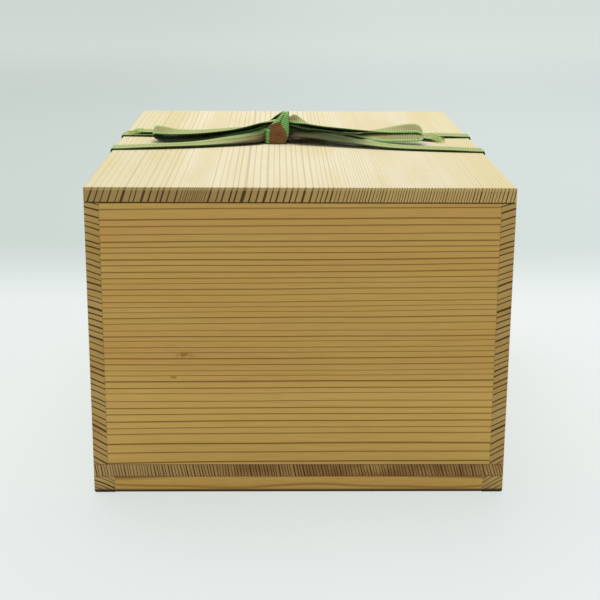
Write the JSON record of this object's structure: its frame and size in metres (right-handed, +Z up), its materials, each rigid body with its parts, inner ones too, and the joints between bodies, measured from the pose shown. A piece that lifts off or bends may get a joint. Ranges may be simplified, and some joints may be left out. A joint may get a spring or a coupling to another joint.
{
  "type": "tied wooden storage box",
  "caption": "Rectangular cedar storage box on foot rails with a flat lift-off lid, tied twice round with a flat green-edged brown woven cord in a bow.",
  "frame": {"origin": "centre of the box's footprint, on the surface that it stands on", "axes": "+X along the short side to the right as seen from the front end, +Y along the long side to the rear end, +Z up"},
  "size_m": [0.2124, 0.295, 0.177],
  "materials": {
    "wall_cedar": "planed and unfinished, straight grain with raised brown rings",
    "lid_cedar": "planed and unfinished, pale straight grain",
    "bottom_cedar": "planed and unfinished",
    "foot_cedar": "planed and unfinished, outer lower edge rounded",
    "batten_cedar": "planed and unfinished",
    "peg_wood": "whittled hard wood, ends cut flush",
    "woven_cord": "flat ribbed weave, brown centre band between light green edge bands"
  },
  "bodies": {
    "box": {"wall_left": "wall_cedar", "wall_right": "wall_cedar", "wall_front": "wall_cedar", "wall_rear": "wall_cedar", "bottom_board": "bottom_cedar", "foot_rail_left": "foot_cedar", "foot_rail_right": "foot_cedar", "foot_rail_front": "foot_cedar", "foot_rail_rear": "foot_cedar", "wall_pegs": "peg_wood", "bottom_pegs": "peg_wood", "foot_pegs": "peg_wood", "cord_front_lower": "woven_cord", "cord_rear_lower": "woven_cord"},
    "lid": {"lid_board": "lid_cedar", "lid_batten_left": "batten_cedar", "lid_batten_right": "batten_cedar", "lid_batten_front": "batten_cedar", "lid_batten_rear": "batten_cedar", "batten_pegs": "peg_wood", "cord_front_top": "woven_cord", "cord_rear_top": "woven_cord", "cord_knot": "woven_cord", "cord_loop_left": "woven_cord", "cord_loop_right": "woven_cord", "cord_tail_left": "woven_cord", "cord_tail_right": "woven_cord"}
  },
  "joints": [
    {"name": "lid_lift", "type": "slide", "parent": "box", "child": "lid", "axis": [0, 0, 1], "range_m": [0, 0.06]}
  ]
}
